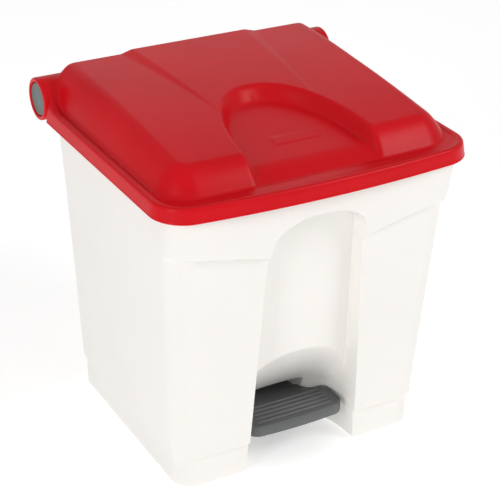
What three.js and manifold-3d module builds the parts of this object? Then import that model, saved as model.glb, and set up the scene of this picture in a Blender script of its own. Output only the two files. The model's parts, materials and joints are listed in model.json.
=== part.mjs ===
// A step-on waste container: a one-piece moulded body, a hinged lid and a foot pedal that lifts
// the lid through a lever and an upright rod in the rear wall.
// Millimetres. +X is the user's right, -Y the front, +Z up. The origin is on the floor under the
// middle of the lid.
import * as THREE from 'three';
import { mergeVertices } from 'three/addons/utils/BufferGeometryUtils.js';
import Module from 'manifold-3d';

const wasm = await Module();
wasm.setup();

// ---------------------------------------------------------------- driving dimensions
const LID_WIDTH = 410;
const LID_FRONT = -199;
const LID_BOW = 10;
const LID_TOP_REAR = 454;
const LID_TOP_FRONT = 431;
const RIM_BOTTOM = 384;
const RIM_TOP = 403;
const LID_CORNER = 43;
const SKIN = 3;

const PLINTH = { top: 44, halfWidth: 168, front: -143, rear: 156.5, corner: 26 };
const BODY = {
  foot: { z: 44, halfWidth: 172, front: -147.5, rear: 160 },
  rim: { z: 392, halfWidth: 190, front: -171, rear: 165 },
  corner: 30,
};
const BAND = { bottom: 314, frontAtBottom: -174, frontAtRim: -185, proud: 0.8, rear: -118, corner: 31 };
const MOUTH_TOP = 410;
const BODY_BOTTOM = 1.5;
const FLOOR_UNDERSIDE = 68;
const PLINTH_WALL = 4;

const RECESS = {
  low: -60, footHalf: 76, springHalf: 63, spring: 315, apex: 354, backAtFoot: -116, backAtTop: -150,
};
const NICHE = { inside: 1, centre: -146, forward: 60, bulge: 3 };
// Depth of the toe niche behind its centre line at each height: a vault that runs up to the arch.
const NICHE_LEVELS = [[-2, 84], [40, 80], [66, 72], [82, 62], [108, 45], [128, 31], [142, 20], [152, 10]];
const TUNNEL_HALF = 39;

const HINGE = { y: 172, z: 405, radius: 27, bore: 22 };
const KNUCKLE = { inner: 95.5, outer: 134.5, radius: 26 };
const HINGE_GAP = 1;
const PIN = { radius: 7, inner: 98, head: 20.5, headIn: 197, headOut: 203.5 };

const PIVOT = { y: -10, z: 34, radius: 4, hubHalf: 36, bearing: 9, halfLength: 55 };
const ROD = { y: 143, footZ: 18, width: 12, thickness: 4 };
const CLEVIS_RADIUS = 3;
const LUG = { radius: 28.8, restDeg: -40, boss: 8, inner: 4, outer: 10, room: 17, core: 13 };
const CHANNEL = { halfWidth: 22, front: 128, rear: 157, wall: 3 };

const TREAD = { front: -140, halfWidth: 66, rear: -88, top: 54, bottom: 40, corner: 10 };
const NECK_HALF = 35;
const NECK_FRONT = -72;
const FOOT = { radius: 11, stem: 5, x: 146, front: -118, rear: 130, height: 4 };
const FIT = 0.3;

// ---------------------------------------------------------------- geometry helpers
// A closed three.js geometry as a solid that can be joined and cut.
function solid(geometry) {
  const bare = geometry.index ? geometry.toNonIndexed() : geometry.clone();
  bare.deleteAttribute('normal');
  bare.deleteAttribute('uv');
  const merged = mergeVertices(bare, 1e-4);
  const mesh = new wasm.Mesh({
    numProp: 3,
    vertProperties: new Float32Array(merged.attributes.position.array),
    triVerts: new Uint32Array(merged.index.array),
  });
  return new wasm.Manifold(mesh);
}

function geometryOf(body) {
  const mesh = body.getMesh();
  const geometry = new THREE.BufferGeometry();
  geometry.setAttribute('position', new THREE.BufferAttribute(mesh.vertProperties, 3));
  geometry.setIndex(new THREE.BufferAttribute(mesh.triVerts, 1));
  geometry.computeVertexNormals();
  return geometry;
}

const join = (...bodies) => bodies.reduce((whole, next) => whole.add(next));
const cut = (body, ...tools) => tools.reduce((left, tool) => left.subtract(tool), body);

// A box between two opposite corners.
function block(low, high) {
  const size = high.map((value, i) => value - low[i]);
  const box = new THREE.BoxGeometry(...size);
  box.translate(...low.map((value, i) => value + size[i] / 2));
  return solid(box);
}

// A round bar along X between x0 and x1.
function barX(radius, x0, x1, y, z, segments = 24) {
  const bar = new THREE.CylinderGeometry(radius, radius, x1 - x0, segments);
  bar.rotateZ(-Math.PI / 2);
  bar.translate((x0 + x1) / 2, y, z);
  return solid(bar);
}

// An outline in plan (X, Y) raised from z0 to z1.
function prism(shape, z0, z1, arcs = 4, steps = 1) {
  const body = new THREE.ExtrudeGeometry(
    shape, { depth: z1 - z0, bevelEnabled: false, curveSegments: arcs, steps });
  body.translate(0, 0, z0);
  return body;
}

// An outline in side view, given as [y, z] points, run along X from x0 to x1.
function slab(points, x0, x1) {
  const shape = new THREE.Shape(points.map(([y, z]) => new THREE.Vector2(y, z)));
  const body = new THREE.ExtrudeGeometry(shape, { depth: x1 - x0, bevelEnabled: false });
  body.applyMatrix4(new THREE.Matrix4().set(0, 0, 1, x0, 1, 0, 0, 0, 0, 1, 0, 0, 0, 0, 0, 1));
  return solid(body);
}

// Moves every point of a geometry with a function of its place.
function reshape(geometry, move) {
  const place = geometry.attributes.position;
  const point = new THREE.Vector3();
  for (let i = 0; i < place.count; i += 1) {
    point.fromBufferAttribute(place, i);
    move(point);
    place.setXYZ(i, point.x, point.y, point.z);
  }
  return geometry;
}

// A rounded rectangle in plan whose front edge bows forward by `bow`.
function roundedPlan(halfWidth, front, rear, corner, bow = 0, rearCorner = corner) {
  const shape = new THREE.Shape();
  const frontSide = front + bow;
  shape.moveTo(-halfWidth, frontSide + corner);
  shape.absarc(-halfWidth + corner, frontSide + corner, corner, Math.PI, 1.5 * Math.PI);
  if (bow > 0) {
    shape.quadraticCurveTo(0, front - bow, halfWidth - corner, frontSide);
  }
  shape.absarc(halfWidth - corner, frontSide + corner, corner, 1.5 * Math.PI, 2 * Math.PI);
  if (rearCorner > 0) {
    shape.absarc(halfWidth - rearCorner, rear - rearCorner, rearCorner, 0, 0.5 * Math.PI);
    shape.absarc(-halfWidth + rearCorner, rear - rearCorner, rearCorner, 0.5 * Math.PI, Math.PI);
  } else {
    shape.lineTo(halfWidth, rear);
    shape.lineTo(-halfWidth, rear);
  }
  return shape;
}

// A rounded rectangle whose sides lean from the section `low` to the section `high`.
function taper(low, high, corner, inset = 0, rearCorner = corner - inset) {
  const shape = roundedPlan(
    low.halfWidth - inset, low.front + inset, low.rear - inset, corner - inset, 0, rearCorner);
  const geometry = prism(shape, low.z, high.z, 5);
  const middle = (low.front + low.rear) / 2;
  return solid(reshape(geometry, (point) => {
    if (Math.abs(point.z - high.z) < 0.01) {
      point.x += Math.sign(point.x) * (high.halfWidth - low.halfWidth);
      point.y += point.y < middle ? high.front - low.front : high.rear - low.rear;
    }
  }));
}

const mirrorX = (body) => body.mirror([1, 0, 0]);

// ---------------------------------------------------------------- body
// The section of a straight taper at another height.
function sectionAt(low, high, z) {
  const at = (key) => THREE.MathUtils.mapLinear(z, low.z, high.z, low[key], high[key]);
  return { z, halfWidth: at('halfWidth'), front: at('front'), rear: at('rear') };
}

// The outside of the body, or the same surface moved inwards by `inset` and open at the top.
function bodyMass(inset) {
  const top = inset > 0 ? MOUTH_TOP : BODY.rim.z;
  const foot = sectionAt(BODY.foot, BODY.rim, BODY.foot.z + inset);
  const main = taper(foot, sectionAt(BODY.foot, BODY.rim, top), BODY.corner, inset);
  const plan = roundedPlan(
    PLINTH.halfWidth - inset, PLINTH.front + inset, PLINTH.rear - inset, PLINTH.corner - inset);
  const plinth = solid(prism(plan, BODY_BOTTOM - 2 * inset, PLINTH.top + inset + 1, 5));
  const wall = sectionAt(BODY.foot, BODY.rim, BAND.bottom);
  const low = {
    ...wall, halfWidth: wall.halfWidth + BAND.proud, front: BAND.frontAtBottom, rear: BAND.rear,
  };
  const high = {
    ...BODY.rim, halfWidth: BODY.rim.halfWidth + BAND.proud, front: BAND.frontAtRim, rear: BAND.rear,
  };
  const band = taper(low, sectionAt(low, high, top), BAND.corner, inset, 0);
  return join(main, plinth, band);
}

const recessHalfAt = (z) => THREE.MathUtils.mapLinear(
  z, 0, RECESS.spring, RECESS.footHalf, RECESS.springHalf);

// The tall front recess, grown by `grow` on all its hidden sides.
function recessTool(grow) {
  const shape = new THREE.Shape();
  const foot = recessHalfAt(RECESS.low) + grow;
  const spring = RECESS.springHalf + grow;
  shape.moveTo(-foot, RECESS.low);
  shape.lineTo(foot, RECESS.low);
  shape.lineTo(spring, RECESS.spring);
  shape.quadraticCurveTo(spring * 0.75, RECESS.apex + grow, 0, RECESS.apex + grow);
  shape.quadraticCurveTo(-spring * 0.75, RECESS.apex + grow, -spring, RECESS.spring);
  const front = -260;
  const depth = -front + RECESS.backAtTop;
  const geometry = new THREE.ExtrudeGeometry(shape, { depth, bevelEnabled: false, curveSegments: 5 });
  geometry.rotateX(Math.PI / 2);
  geometry.translate(0, RECESS.backAtTop, 0);
  return solid(reshape(geometry, (point) => {
    if (point.y > front + 1) {
      point.y = grow + THREE.MathUtils.mapLinear(
        point.z, 0, RECESS.apex, RECESS.backAtFoot, RECESS.backAtTop);
    }
  }));
}

// The toe niche: upright round-backed walls that close forward into a vault at the top.
function nicheTool(grow) {
  const points = [];
  const steps = 16;
  for (let i = 0; i <= steps; i += 1) {
    const angle = Math.PI * (i / steps);
    const side = Math.cos(angle);
    const deep = Math.sin(angle);
    const bulge = (Math.abs(side) ** NICHE.bulge + deep ** NICHE.bulge) ** (-1 / NICHE.bulge);
    points.push(new THREE.Vector2(side * bulge, deep * bulge));
  }
  points.push(new THREE.Vector2(-1, -1));
  points.push(new THREE.Vector2(1, -1));
  const last = NICHE_LEVELS.length - 1;
  const geometry = prism(new THREE.Shape(points), 0, last, 1, last);
  return solid(reshape(geometry, (point) => {
    const [height, depth] = NICHE_LEVELS[Math.round(point.z)];
    point.x *= recessHalfAt(height) - NICHE.inside + grow;
    point.y = NICHE.centre + point.y * (point.y > 0 ? depth + grow : NICHE.forward);
    point.z = height + grow;
  }));
}

const tunnelTool = (grow) => block(
  [-TUNNEL_HALF - grow, NICHE.centre, -60], [TUNNEL_HALF + grow, CHANNEL.rear - 6, FLOOR_UNDERSIDE + grow]);

const channelTool = (grow) => block(
  [-CHANNEL.halfWidth - grow, CHANNEL.front - grow, FLOOR_UNDERSIDE - 10],
  [CHANNEL.halfWidth + grow, 200, 430]);

// The waste space inside the walls, clear of the recess, the niche and the rod channel.
function wasteSpace() {
  const inner = bodyMass(SKIN).intersect(block([-250, -250, FLOOR_UNDERSIDE + SKIN], [250, 250, 500]));
  return cut(inner, recessTool(SKIN), nicheTool(SKIN), channelTool(CHANNEL.wall));
}

// The open hollow under the floor, each side of the pedal tunnel.
function underFloor() {
  const hollow = bodyMass(PLINTH_WALL).intersect(block([-250, -250, -20], [250, 250, FLOOR_UNDERSIDE]));
  const bearings = join(...[-1, 1].map((side) => barX(
    12, side > 0 ? TUNNEL_HALF : -TUNNEL_HALF - PIVOT.bearing,
    side > 0 ? TUNNEL_HALF + PIVOT.bearing : -TUNNEL_HALF, PIVOT.y, PIVOT.z)));
  return cut(hollow, recessTool(SKIN), nicheTool(SKIN), tunnelTool(SKIN), bearings, ...footBosses());
}

const footPlaces = [
  ['front_left', -FOOT.x, FOOT.front], ['front_right', FOOT.x, FOOT.front],
  ['rear_left', -FOOT.x, FOOT.rear], ['rear_right', FOOT.x, FOOT.rear],
];

function upright(radius, x, y, z0, z1, segments = 20) {
  const bar = new THREE.CylinderGeometry(radius, radius, z1 - z0, segments);
  bar.rotateX(Math.PI / 2);
  bar.translate(x, y, (z0 + z1) / 2);
  return solid(bar);
}

const footBosses = () => footPlaces.map(([, x, y]) => upright(FOOT.radius + 3, x, y, -30, FLOOR_UNDERSIDE));

function knuckle() {
  const { inner, outer, radius } = KNUCKLE;
  const roll = barX(radius, inner, outer, HINGE.y, HINGE.z);
  const web = slab([
    [161, 335], [164.5, 345], [190, 382], [195, HINGE.z], [149, HINGE.z], [152, 372],
  ], inner, outer);
  const bore = barX(PIN.radius + 0.25, inner - 5, outer + 5, HINGE.y, HINGE.z);
  return cut(join(roll, web), bore);
}

function bodyShell() {
  const underRoll = block(
    [-230, HINGE.y - HINGE.radius - 3, HINGE.z - HINGE.radius - 3], [230, 230, 500]);
  const shell = cut(
    bodyMass(0), recessTool(0), nicheTool(0), tunnelTool(0), wasteSpace(), underFloor(), underRoll,
    channelTool(0).intersect(bodyMass(SKIN)),
    barX(PIVOT.radius + 2.2, -70, 70, PIVOT.y, PIVOT.z));
  const right = knuckle();
  const stems = footPlaces.map(([, x, y]) => upright(FOOT.stem + FIT, x, y, -5, 14));
  const pads = footPlaces.map(([, x, y]) => upright(FOOT.radius + FIT, x, y, -5, FOOT.height + FIT));
  return cut(join(shell, right, mirrorX(right)), ...stems, ...pads);
}

// ---------------------------------------------------------------- lid
const lidTopAt = (y) => THREE.MathUtils.mapLinear(y, -145, 163, LID_TOP_FRONT, LID_TOP_REAR);

// The raised middle of the lid: steep shoulders up to a top that climbs towards the hinge.
function lidDome(inset) {
  const foot = { half: 190 - inset, front: -169 + inset, rear: 172 - inset };
  const plan = roundedPlan(foot.half, foot.front, foot.rear, 30, 5, 8);
  const geometry = prism(plan, RIM_TOP - 10, LID_TOP_REAR, 5);
  return solid(reshape(geometry, (point) => {
    if (point.z > RIM_TOP) {
      point.x *= (163 - inset) / foot.half;
      const share = (point.y - foot.front) / (foot.rear - foot.front);
      point.y = -146 + inset + share * (163 + 146 - 2 * inset);
      point.z = lidTopAt(point.y) - inset;
    } else if (inset === 0) {
      point.z = RIM_TOP - 2;
    }
  }));
}

// The arched scoop in the front of the dome: its floor falls gently to the front ledge.
function scoopTool(drop) {
  const shape = new THREE.Shape();
  const half = 78 + drop;
  shape.moveTo(-half, -230);
  shape.lineTo(half, -230);
  shape.lineTo(half - 2, -90);
  shape.bezierCurveTo(half - 8, -45, 42, -5 + drop, 0, -3 + drop);
  shape.bezierCurveTo(-42, -5 + drop, -half + 8, -45, -half + 2, -90);
  const geometry = prism(shape, 300, 520, 5);
  return solid(reshape(geometry, (point) => {
    if (point.z < 400) {
      point.z = THREE.MathUtils.mapLinear(point.y, -169, -14, RIM_TOP + 4, 427) - drop;
      if (drop === 0) {
        point.z = Math.max(point.z, RIM_TOP + 1);
      }
    }
  }));
}

function lidBarrel() {
  const ends = [-1, 1].map((side) => {
    const from = KNUCKLE.outer + HINGE_GAP;
    const roll = barX(HINGE.radius, from, LID_WIDTH / 2, HINGE.y, HINGE.z, 32);
    const hollow = barX(HINGE.bore, from + 5, LID_WIDTH / 2 + 1, HINGE.y, HINGE.z, 32);
    const right = cut(roll, hollow);
    return side > 0 ? right : mirrorX(right);
  });
  const roll = barX(HINGE.radius, LUG.room, KNUCKLE.inner - HINGE_GAP, HINGE.y, HINGE.z, 32);
  const bore = barX(HINGE.bore, LUG.room + SKIN, KNUCKLE.inner, HINGE.y, HINGE.z, 32);
  const half = cut(roll, bore);
  const core = barX(LUG.core, -LUG.room - 1, LUG.room + 1, HINGE.y, HINGE.z);
  return join(half, mirrorX(half), core, ...ends);
}

const lugAngle = THREE.MathUtils.degToRad(LUG.restDeg);
const LUG_PLACE = {
  y: HINGE.y - LUG.radius * Math.cos(lugAngle),
  z: HINGE.z + LUG.radius * Math.sin(lugAngle),
};

// The pair of ears that the lift rod pushes on.
function lugEars() {
  return join(
    barX(LUG.boss, -LUG.outer, LUG.outer, LUG_PLACE.y, LUG_PLACE.z, 20),
    slab([
      [LUG_PLACE.y - 5, LUG_PLACE.z + 6], [LUG_PLACE.y + 6, LUG_PLACE.z - 5],
      [HINGE.y + 4, HINGE.z - 10], [HINGE.y - 8, HINGE.z + 6],
    ], -LUG.outer, LUG.outer));
}

function lidShell() {
  const plan = (inset) => roundedPlan(
    LID_WIDTH / 2 - inset, LID_FRONT + inset, HINGE.y, LID_CORNER - inset, LID_BOW, 0);
  const rim = solid(prism(plan(0), RIM_BOTTOM, RIM_TOP, 6));
  const rimHollow = solid(prism(plan(SKIN), RIM_BOTTOM - 5, RIM_TOP - SKIN, 6))
    .intersect(block([-230, -230, 300], [230, HINGE.y - 22, 500]));
  const dome = cut(lidDome(0), scoopTool(0));
  const domeHollow = cut(lidDome(SKIN), scoopTool(SKIN))
    .intersect(block([-230, -230, 300], [230, HINGE.y - 14, 500]));
  const rearTrim = block([-196, HINGE.y - 30, 370], [196, HINGE.y + 20, RIM_TOP - SKIN]);
  const knuckleRoom = join(...[-1, 1].map((side) => barX(
    KNUCKLE.radius + 1.5,
    side > 0 ? KNUCKLE.inner - HINGE_GAP : -KNUCKLE.outer - HINGE_GAP,
    side > 0 ? KNUCKLE.outer + HINGE_GAP : -KNUCKLE.inner + HINGE_GAP,
    HINGE.y, HINGE.z, 32)));
  const endBores = join(...[-1, 1].map((side) => barX(
    HINGE.bore, side > 0 ? KNUCKLE.outer + HINGE_GAP + 5 : -LID_WIDTH / 2 - 1,
    side > 0 ? LID_WIDTH / 2 + 1 : -KNUCKLE.outer - HINGE_GAP - 5, HINGE.y, HINGE.z, 32)));
  const middleBore = barX(HINGE.bore, -KNUCKLE.inner, KNUCKLE.inner, HINGE.y, HINGE.z, 32);
  const lugRoom = barX(
    LUG.radius + LUG.boss + 2, -LUG.room, LUG.room, HINGE.y, HINGE.z, 32)
    .intersect(block([-LUG.room, 126, 360], [LUG.room, 200, HINGE.z + 29]));
  const shell = cut(
    join(cut(rim, rimHollow, rearTrim), dome), domeHollow, knuckleRoom, endBores, middleBore);
  const slot = join(
    cut(block([-LUG.inner, 120, 360], [LUG.inner, 200, 440]), barX(LUG.core, -6, 6, HINGE.y, HINGE.z)),
    barX(CLEVIS_RADIUS + 0.2, -20, 20, LUG_PLACE.y, LUG_PLACE.z));
  const pinHoles = join(...[-1, 1].map((side) => barX(
    PIN.radius + 0.4, side > 0 ? KNUCKLE.outer : -KNUCKLE.outer - 20,
    side > 0 ? KNUCKLE.outer + 20 : -KNUCKLE.outer, HINGE.y, HINGE.z)));
  return cut(join(cut(shell, lugRoom), cut(join(lidBarrel(), lugEars()), slot)), pinHoles);
}

// ---------------------------------------------------------------- hinge pins
function hingePin(side) {
  const shank = barX(PIN.radius, PIN.inner, PIN.headIn + 1, HINGE.y, HINGE.z);
  const head = barX(PIN.head, PIN.headIn, PIN.headOut, HINGE.y, HINGE.z, 32);
  const pin = join(shank, head);
  return side > 0 ? pin : mirrorX(pin);
}

// ---------------------------------------------------------------- pedal and lift gear
function treadPlan(inset) {
  const { front, halfWidth, rear, corner } = TREAD;
  const shape = new THREE.Shape();
  const half = halfWidth - inset;
  const neck = NECK_HALF - inset;
  shape.moveTo(0, front - 2 + inset);
  shape.lineTo(half - corner, front + inset);
  shape.absarc(half - corner, front + inset + corner, corner, -0.5 * Math.PI, 0);
  shape.lineTo(half, rear - 14);
  shape.lineTo(half - 14, rear - inset);
  shape.quadraticCurveTo(neck, rear - inset, neck, NECK_FRONT - inset);
  shape.lineTo(-neck, NECK_FRONT - inset);
  shape.quadraticCurveTo(-neck, rear - inset, -half + 14, rear - inset);
  shape.lineTo(-half, rear - 14);
  shape.lineTo(-half, front + inset + corner);
  shape.absarc(-half + corner, front + inset + corner, corner, Math.PI, 1.5 * Math.PI);
  return shape;
}

function pedalLever() {
  const skirt = solid(prism(treadPlan(0), TREAD.bottom, TREAD.top));
  const under = solid(prism(treadPlan(3), TREAD.bottom - 5, TREAD.top - 4));
  const ribs = [0, 1, 2, 3].map((row) => {
    const y = TREAD.front + 9 + row * 8;
    return block([-54, y, TREAD.top - 1], [54, y + 2, TREAD.top + 1]);
  });
  const neck = slab([
    [NECK_FRONT - 12, TREAD.bottom + 1], [NECK_FRONT - 12, TREAD.top - 1], [NECK_FRONT, TREAD.top - 2],
    [PIVOT.y, PIVOT.z + 8], [PIVOT.y, PIVOT.z - 6],
  ], -NECK_HALF, NECK_HALF);
  const hub = barX(10, -PIVOT.hubHalf, PIVOT.hubHalf, PIVOT.y, PIVOT.z);
  const arm = slab([
    [PIVOT.y, PIVOT.z + 8], [ROD.y - 6, ROD.footZ + 6], [ROD.y - 6, ROD.footZ - 5], [PIVOT.y, PIVOT.z - 8],
  ], -13, 13);
  const eye = barX(7, -11, 11, ROD.y, ROD.footZ);
  const fork = block([-3, ROD.y - 16, 0], [3, ROD.y + 20, 50]);
  return cut(
    join(cut(skirt, under), ...ribs, neck, hub, arm, eye), fork,
    barX(PIVOT.radius + 0.2, -60, 60, PIVOT.y, PIVOT.z),
    barX(CLEVIS_RADIUS + 0.2, -20, 20, ROD.y, ROD.footZ));
}

function liftRod() {
  const half = ROD.thickness / 2;
  const slotFront = HINGE.y - LUG.radius - CLEVIS_RADIUS - 1.3;
  const slotRear = LUG_PLACE.y + CLEVIS_RADIUS + 1.2;
  const headZ = LUG_PLACE.z;
  const strip = block(
    [-half, ROD.y - ROD.width / 2, ROD.footZ], [half, ROD.y + ROD.width / 2, headZ]);
  const eye = barX(7, -half, half, ROD.y, ROD.footZ);
  const head = block([-half, slotFront - 4, headZ - 8], [half, slotRear + 2.5, headZ + 7]);
  const slotBottom = headZ - CLEVIS_RADIUS - 1;
  const slotTop = headZ + CLEVIS_RADIUS + 0.5;
  const slot = block([-half - 1, slotFront, slotBottom], [half + 1, slotRear, slotTop]);
  return cut(join(strip, eye, head), slot, barX(CLEVIS_RADIUS + 0.2, -9, 9, ROD.y, ROD.footZ));
}

// A headed pin along X with its head on the right.
function headedPin(y, z, reach) {
  return join(
    barX(CLEVIS_RADIUS, -reach - 4, reach + 1, y, z),
    barX(5, reach + FIT, reach + 2.3, y, z));
}

// A push nut: a dished washer that bites on a pin's plain end.
function pushNut(x0, x1, y, z, bore, radius) {
  return cut(barX(radius, x0, x1, y, z), barX(bore + 0.1, x0 - 1, x1 + 1, y, z));
}

function axleBush(side) {
  const inner = PIVOT.hubHalf + 2 * FIT;
  const sleeve = barX(PIVOT.radius + 1.9, inner, TUNNEL_HALF + PIVOT.bearing + 2, PIVOT.y, PIVOT.z);
  const flange = barX(9, inner, TUNNEL_HALF - FIT, PIVOT.y, PIVOT.z);
  const bush = cut(join(sleeve, flange), barX(PIVOT.radius + 0.15, 0, 70, PIVOT.y, PIVOT.z));
  return side > 0 ? bush : mirrorX(bush);
}

// A nylon guide that keeps the rod in the middle of its channel.
function rodGuide(z) {
  const outer = block(
    [-CHANNEL.halfWidth + FIT, CHANNEL.front + FIT, z], [CHANNEL.halfWidth - FIT, CHANNEL.rear - 1, z + 10]);
  const slot = block([-4, ROD.y - 8.5, z - 1], [4, ROD.y + 8.5, z + 11]);
  return cut(outer, slot);
}

function footPad(x, y) {
  return join(upright(FOOT.radius, x, y, 0, FOOT.height), upright(FOOT.stem, x, y, FOOT.height - 1, 13));
}

// ---------------------------------------------------------------- assembly
const paint = (colour, roughness, metalness = 0) => new THREE.MeshStandardMaterial({
  color: new THREE.Color(...colour), roughness, metalness,
});
const white = () => paint([0.93, 0.92, 0.89], 0.45);
const red = () => paint([0.58, 0.012, 0.02], 0.35);
const charcoal = () => paint([0.065, 0.07, 0.072], 0.5);
const greyPlug = () => paint([0.16, 0.19, 0.18], 0.55);
const nylon = () => paint([0.75, 0.74, 0.7], 0.5);
const rubber = () => paint([0.03, 0.03, 0.03], 0.85);
const steel = () => paint([0.55, 0.55, 0.56], 0.35, 1);

const bin = new THREE.Group();
function add(name, body, material) {
  const mesh = new THREE.Mesh(geometryOf(body), material);
  mesh.name = name;
  bin.add(mesh);
}

add('body_shell', bodyShell(), white());
add('lid_shell', lidShell(), red());
add('hinge_pin_left', hingePin(-1), greyPlug());
add('hinge_pin_right', hingePin(1), greyPlug());
add('pedal_lever', pedalLever(), charcoal());
add('pedal_axle', barX(PIVOT.radius, -PIVOT.halfLength, PIVOT.halfLength, PIVOT.y, PIVOT.z), steel());
add('axle_bush_left', axleBush(-1), nylon());
add('axle_bush_right', axleBush(1), nylon());
add('axle_push_nut_left', pushNut(-52.6, -50.6, PIVOT.y, PIVOT.z, PIVOT.radius, 8), steel());
add('axle_push_nut_right', pushNut(50.6, 52.6, PIVOT.y, PIVOT.z, PIVOT.radius, 8), steel());
add('lift_rod', liftRod(), steel());
add('lower_clevis_pin', headedPin(ROD.y, ROD.footZ, 11), steel());
add('lower_push_nut', pushNut(-13.3, -11.5, ROD.y, ROD.footZ, CLEVIS_RADIUS, 6), steel());
add('lid_lug_pin', headedPin(LUG_PLACE.y, LUG_PLACE.z, LUG.outer), steel());
add('lid_lug_push_nut', pushNut(-12.3, -10.5, LUG_PLACE.y, LUG_PLACE.z, CLEVIS_RADIUS, 6), steel());
add('rod_guide_upper', rodGuide(330), nylon());
add('rod_guide_lower', rodGuide(110), nylon());
for (const [place, x, y] of footPlaces) {
  add(`foot_pad_${place}`, footPad(x, y), rubber());
}

export default bin;
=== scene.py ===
"""A white pedal bin with a red domed lid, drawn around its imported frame.

Lengths are millimetres until a mesh is made, then metres; the lamps are placed in metres. +X is the
right seen from the front, -Y the front and +Z up.
"""

import json
import math

import bmesh
import bpy
import numpy as np
from mathutils import Matrix, Vector


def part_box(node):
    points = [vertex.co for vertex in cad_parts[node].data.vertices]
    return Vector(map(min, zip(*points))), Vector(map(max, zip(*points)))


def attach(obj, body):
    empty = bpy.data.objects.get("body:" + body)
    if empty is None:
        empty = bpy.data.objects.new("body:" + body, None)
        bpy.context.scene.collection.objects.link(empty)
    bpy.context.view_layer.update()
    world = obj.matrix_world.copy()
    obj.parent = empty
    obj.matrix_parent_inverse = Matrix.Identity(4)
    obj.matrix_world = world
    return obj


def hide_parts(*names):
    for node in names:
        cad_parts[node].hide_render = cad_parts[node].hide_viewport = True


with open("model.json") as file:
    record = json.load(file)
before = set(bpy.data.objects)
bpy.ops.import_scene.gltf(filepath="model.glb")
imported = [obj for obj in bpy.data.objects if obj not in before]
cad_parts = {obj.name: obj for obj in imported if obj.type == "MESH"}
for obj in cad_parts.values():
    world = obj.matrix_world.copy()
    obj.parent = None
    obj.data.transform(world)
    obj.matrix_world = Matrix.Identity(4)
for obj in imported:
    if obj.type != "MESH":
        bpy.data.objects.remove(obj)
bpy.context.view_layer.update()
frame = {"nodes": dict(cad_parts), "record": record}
MM = 0.001


# ---------------------------------------------------------------- places from the frame
def box_mm(node):
    low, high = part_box(node)
    return [value / MM for value in low], [value / MM for value in high]


def middle_yz(node):
    """The middle of a CAD node in side view."""
    low, high = box_mm(node)
    return (low[1] + high[1]) / 2, (low[2] + high[2]) / 2


def joint_mm(name):
    joints = frame["record"]["behaviour"]["joints"]
    return next([value / MM for value in joint["pos_m"]] for joint in joints if joint["name"] == name)


LID_LOW, LID_HIGH = box_mm("lid_shell")
PLUG_LOW, PLUG_HIGH = box_mm("hinge_pin_right")
HINGE_Y, HINGE_Z = joint_mm("lid_hinge")[1:]
PIVOT_Y, PIVOT_Z = joint_mm("pedal_pivot")[1:]

LID_HALF = LID_HIGH[0]
LID_FRONT = LID_LOW[1]
LID_TOP = LID_HIGH[2]
ROLL_RADIUS = LID_HIGH[1] - HINGE_Y
ROLL_FRONT = HINGE_Y - ROLL_RADIUS
SKIRT_BOTTOM = HINGE_Z - 21
SKIRT_TOP = SKIRT_BOTTOM + 19
SKIN = 3
KNUCKLE_INNER = 95.5
KNUCKLE_OUTER = 134.5
KNUCKLE_RADIUS = 26
ROLL_GAP = 1
CIRCLE_STEPS = 96
SMALLEST_SHARE = 0.02


# ---------------------------------------------------------------- mesh helpers
def ramp(low, high, value):
    """0 below low, 1 above high, straight between."""
    return np.clip((value - low) / (high - low), 0, 1)


def smooth(low, high, value):
    """0 below low, 1 above high, an S-curve between."""
    share = ramp(low, high, value)
    return share * share * (3 - 2 * share)


def smooth_max(first, second, blend):
    """The larger of two heights, with a fillet where they are within blend of each other."""
    overlap = np.maximum(blend - np.abs(first - second), 0) / blend
    return np.maximum(first, second) + overlap * overlap * blend / 4


def mesh_object(name, points, faces):
    """An object in the scene from millimetre points."""
    mesh = bpy.data.meshes.new(name)
    mesh.from_pydata([tuple(MM * float(value) for value in point) for point in points], [], faces)
    piece = bpy.data.objects.new(name, mesh)
    bpy.context.scene.collection.objects.link(piece)
    return piece


def face_outwards(piece):
    work = bmesh.new()
    work.from_mesh(piece.data)
    bmesh.ops.recalc_face_normals(work, faces=work.faces)
    if work.calc_volume(signed=True) < 0:
        bmesh.ops.reverse_faces(work, faces=work.faces)
    work.to_mesh(piece.data)
    work.free()


def make_piece(name, points, faces, material, body, sharp_deg=35):
    """A piece of the bin, shaded smooth except where it bends by more than sharp_deg."""
    piece = mesh_object(name, points, faces)
    mesh = piece.data
    mesh.validate()
    mesh.update()
    mesh.materials.append(material)
    face_outwards(piece)
    mesh.shade_smooth()
    mesh.set_sharp_from_angle(angle=math.radians(sharp_deg))
    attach(piece, body)
    return piece


def loft(rings, around=False):
    """Quads between equal rings of points. The end rings are capped, or joined when around is true."""
    count = len(rings[0])
    points = np.concatenate(rings)
    faces = []
    pairs = len(rings) if around else len(rings) - 1
    for row in range(pairs):
        here = row * count
        there = ((row + 1) % len(rings)) * count
        for i in range(count):
            j = (i + 1) % count
            faces.append((here + i, here + j, there + j, there + i))
    if not around:
        faces.append(tuple(range(count))[::-1])
        faces.append(tuple((len(rings) - 1) * count + i for i in range(count)))
    return points, faces


def hinge_circle(x, radius):
    """A circle of points about the hinge axis."""
    angles = np.linspace(0, 2 * math.pi, CIRCLE_STEPS, endpoint=False)
    return np.column_stack([
        np.full(CIRCLE_STEPS, x), HINGE_Y + radius * np.cos(angles), HINGE_Z + radius * np.sin(angles)])


def lathe_x(profile):
    """A closed (x, radius) profile turned about the hinge axis."""
    return loft([hinge_circle(x, radius) for x, radius in profile], around=True)


def stack(blocks):
    """Several (points, faces) blocks as one."""
    points = []
    faces = []
    count = 0
    for block_points, block_faces in blocks:
        faces += [tuple(index + count for index in face) for face in block_faces]
        points.append(block_points)
        count += len(block_points)
    return np.concatenate(points), faces


def mirrored(points):
    return points * np.array([-1, 1, 1])


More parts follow.
